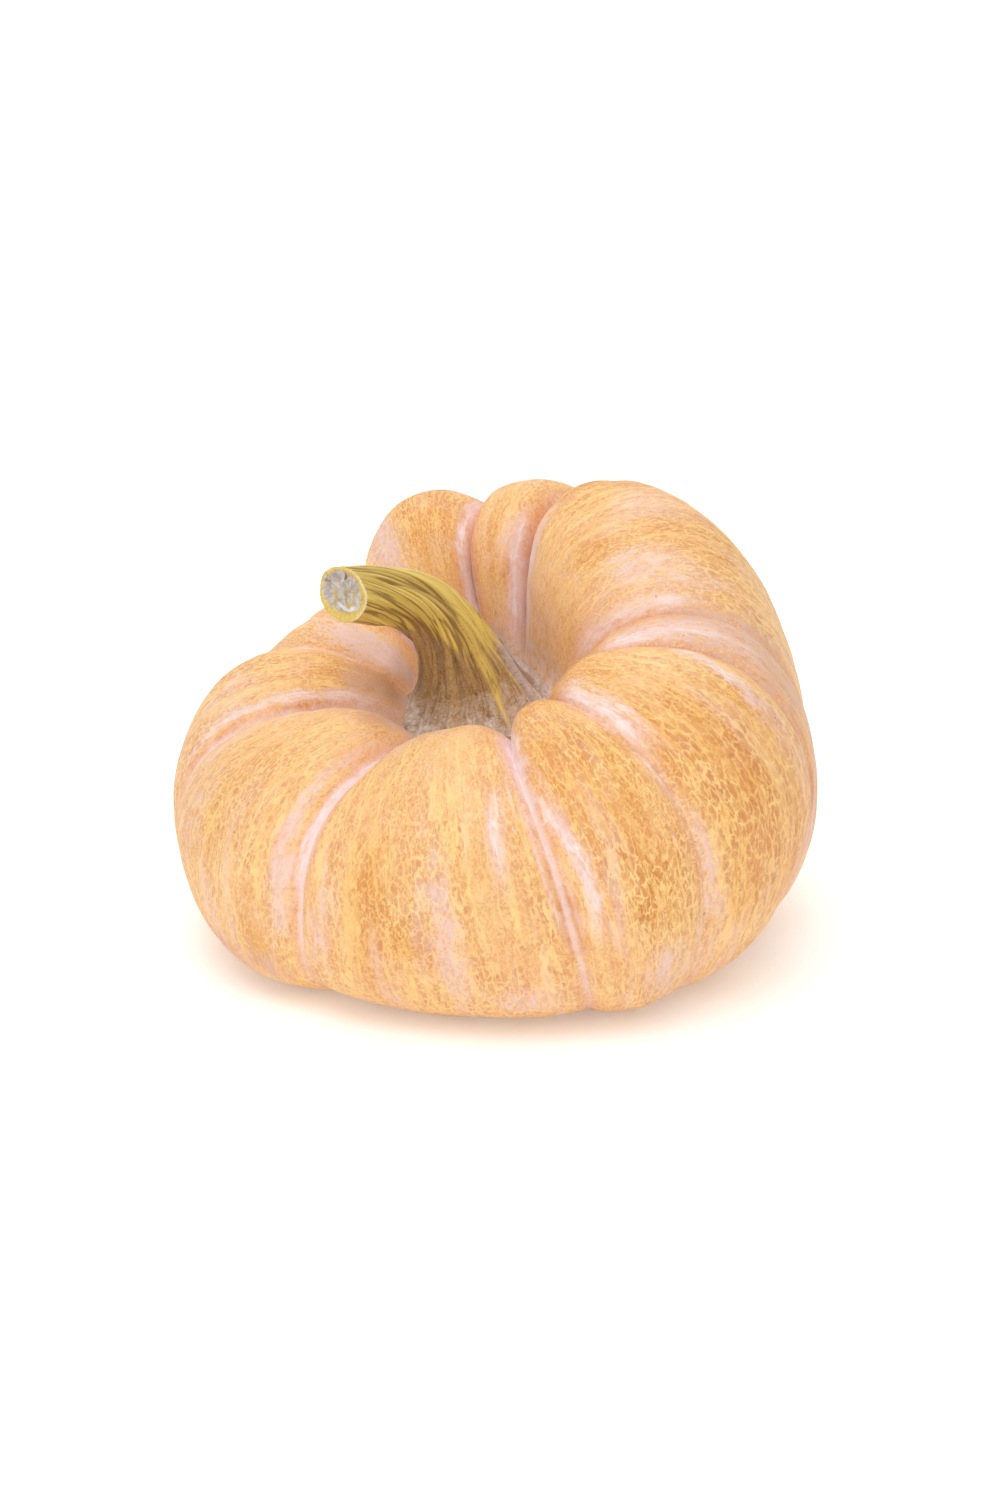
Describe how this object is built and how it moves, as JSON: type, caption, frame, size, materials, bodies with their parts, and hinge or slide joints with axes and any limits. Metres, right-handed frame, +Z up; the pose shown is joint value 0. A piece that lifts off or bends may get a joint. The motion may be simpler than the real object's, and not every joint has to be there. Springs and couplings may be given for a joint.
{
  "type": "pumpkin",
  "caption": "Flattened ribbed pumpkin with uneven lobes round a sunken crown and a curved, ridged stem ending in a slanted cut.",
  "frame": {"origin": "centre of the outline seen from above, at the level of the surface that the pumpkin rests on", "axes": "+Z up, +X to the right and +Y to the back as the pumpkin is seen with its stem bending over to the left"},
  "size_m": [0.2798, 0.2794, 0.1945],
  "materials": {
    "rind": "satin rind, peach to orange, with a yellow netted bloom and pale pink grooves",
    "stem": "dry, olive-yellow ridges with brown furrows and a dusty grey-brown foot"
  },
  "bodies": {
    "root": {"fruit": "rind", "stem": "stem"}
  },
  "joints": []
}
